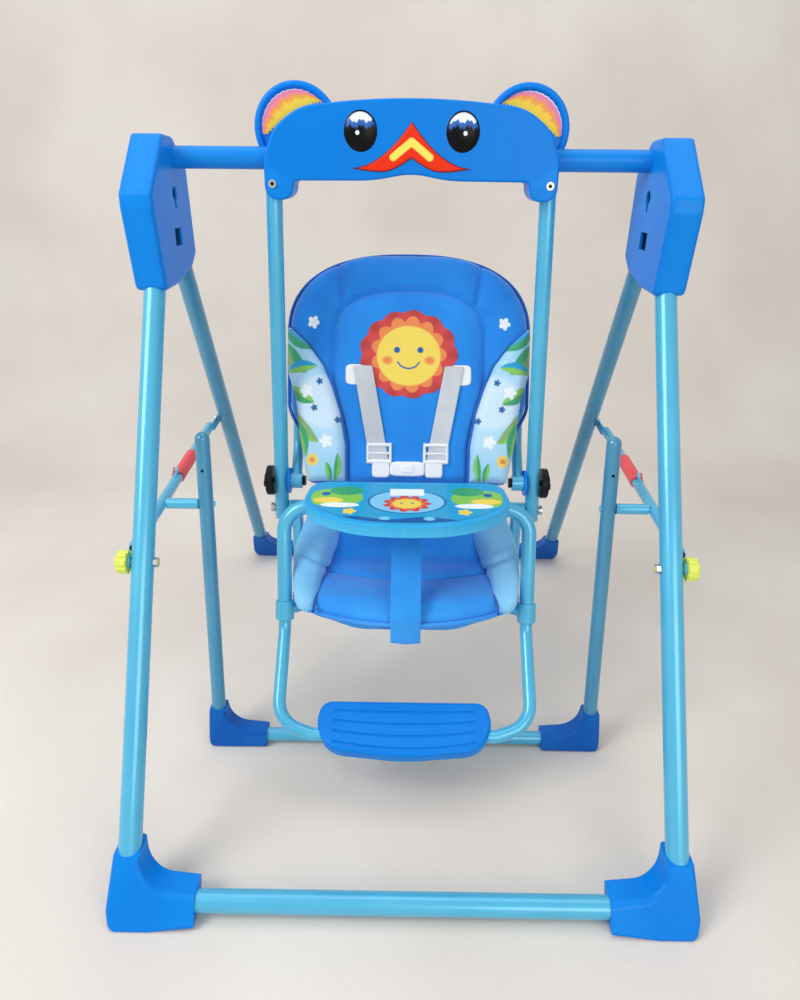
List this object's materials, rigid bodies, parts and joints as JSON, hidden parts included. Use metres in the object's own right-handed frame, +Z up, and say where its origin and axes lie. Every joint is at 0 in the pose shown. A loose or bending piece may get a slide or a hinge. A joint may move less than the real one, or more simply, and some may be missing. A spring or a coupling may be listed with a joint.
{
  "type": "child swing",
  "caption": "Folding A-frame child swing with a padded reclining seat, lap tray, guard bar, footrest and an animal-face board on the crossbar.",
  "frame": {"origin": "on the floor, under the middle of the stand", "axes": "+X to the picture's right, -Y out of the swing's front, +Z up"},
  "size_m": [0.6586, 0.869, 0.841],
  "materials": {
    "sky_tube": "gloss",
    "deep_tube": "gloss",
    "blue_plastic": "satin",
    "ear_plastic": "satin",
    "eye_black": "gloss",
    "knob_black": "matte",
    "knob_lime": "satin",
    "sleeve_red": "satin",
    "pin_steel": "brushed",
    "seat_cloth": "woven",
    "light_cloth": "woven",
    "strap_grey": "woven",
    "white_plastic": "gloss"
  },
  "bodies": {
    "stand": {"front_leg_upper_left": "sky_tube", "front_leg_upper_right": "sky_tube", "front_leg_lower_left": "sky_tube", "front_leg_lower_right": "sky_tube", "front_elbow_left": "blue_plastic", "front_elbow_right": "blue_plastic", "hub_outer_left": "blue_plastic", "hub_outer_right": "blue_plastic", "hub_inner_left": "blue_plastic", "hub_inner_right": "blue_plastic", "front_floor_bar": "sky_tube", "crossbar_bushes": "blue_plastic", "fold_pins": "pin_steel", "stay_nuts": "pin_steel"},
    "rear_frame": {"rear_leg_left": "deep_tube", "rear_leg_right": "deep_tube", "rear_elbow_left": "blue_plastic", "rear_elbow_right": "blue_plastic", "rear_floor_bar": "deep_tube"},
    "front_stays": {"stay_front_half_left": "sky_tube", "stay_front_half_right": "sky_tube", "mid_pins": "pin_steel"},
    "rear_stays": {"stay_rear_half_left": "sky_tube", "stay_rear_half_right": "sky_tube", "stay_sleeve_left": "sleeve_red", "stay_sleeve_right": "sleeve_red", "stay_rivets": "pin_steel", "knuckle_pins": "pin_steel"},
    "mid_frame": {"mid_upright_left": "sky_tube", "mid_upright_right": "sky_tube", "mid_elbow_left": "blue_plastic", "mid_elbow_right": "blue_plastic", "mid_floor_bar": "sky_tube"},
    "knob_left": {"stay_knob_left": "knob_lime"},
    "knob_right": {"stay_knob_right": "knob_lime"},
    "swing": {"crossbar": "blue_plastic", "face_board": "blue_plastic", "board_screws": "pin_steel", "ear_board": "ear_plastic", "eyes": "eye_black", "hanger_left": "sky_tube", "hanger_right": "sky_tube", "seat_rail": "sky_tube", "rail_bolts": "pin_steel", "guard_bar": "sky_tube", "footrest_frame": "sky_tube", "rail_collars": "blue_plastic", "footrest": "blue_plastic", "seat_pad": "seat_cloth", "seat_bolsters": "light_cloth", "crotch_strap": "seat_cloth", "recline_bosses": "blue_plastic"},
    "back": {"back_frame": "sky_tube", "back_pad": "seat_cloth", "back_wings": "light_cloth", "harness_straps": "strap_grey", "harness_fittings": "white_plastic"},
    "tray": {"tray": "blue_plastic"},
    "recline_knob_left": {"recline_knob_left": "knob_black"},
    "recline_knob_right": {"recline_knob_right": "knob_black"}
  },
  "joints": [
    {"name": "rear_fold", "type": "hinge", "parent": "stand", "child": "rear_frame", "pos_m": [0, 0.02096, 0.676], "axis": [1, 0, 0], "range_deg": [-40, 0]},
    {"name": "front_stay_turn", "type": "hinge", "parent": "stand", "child": "front_stays", "pos_m": [0, -0.22852, 0.338], "axis": [1, 0, 0], "range_deg": [-74.81, 0]},
    {"name": "rear_stay_turn", "type": "hinge", "parent": "front_stays", "child": "rear_stays", "pos_m": [0, -0.0143, 0.36397], "axis": [1, 0, 0], "range_deg": [0, 133.16]},
    {"name": "mid_frame_turn", "type": "hinge", "parent": "front_stays", "child": "mid_frame", "pos_m": [0, -0.09026, 0.34829], "axis": [1, 0, 0], "range_deg": [0, 143.7]},
    {"name": "stay_knob_left_turn", "type": "hinge", "parent": "stand", "child": "knob_left", "pos_m": [-0.3203, -0.22852, 0.338], "axis": [-1, 0, 0], "continuous": true},
    {"name": "stay_knob_right_turn", "type": "hinge", "parent": "stand", "child": "knob_right", "pos_m": [0.3203, -0.22852, 0.338], "axis": [1, 0, 0], "continuous": true},
    {"name": "swing_turn", "type": "hinge", "parent": "stand", "child": "swing", "pos_m": [0, 0, 0.759], "axis": [1, 0, 0], "range_deg": [-18, 18]},
    {"name": "back_recline", "type": "hinge", "parent": "swing", "child": "back", "pos_m": [0, 0, 0.345], "axis": [1, 0, 0], "range_deg": [-25, 0]},
    {"name": "tray_lift", "type": "hinge", "parent": "swing", "child": "tray", "pos_m": [0, -0.088, 0.345], "axis": [1, 0, 0], "range_deg": [-75, 0]},
    {"name": "recline_knob_left_turn", "type": "hinge", "parent": "swing", "child": "recline_knob_left", "pos_m": [-0.185, 0, 0.345], "axis": [-1, 0, 0], "continuous": true},
    {"name": "recline_knob_right_turn", "type": "hinge", "parent": "swing", "child": "recline_knob_right", "pos_m": [0.185, 0, 0.345], "axis": [1, 0, 0], "continuous": true}
  ],
  "couplings": [
    {"joint": "front_stay_turn", "follows": "rear_fold", "ratio": 1.8578},
    {"joint": "rear_stay_turn", "follows": "rear_fold", "ratio": -3.3165},
    {"joint": "mid_frame_turn", "follows": "rear_fold", "ratio": -3.58}
  ]
}
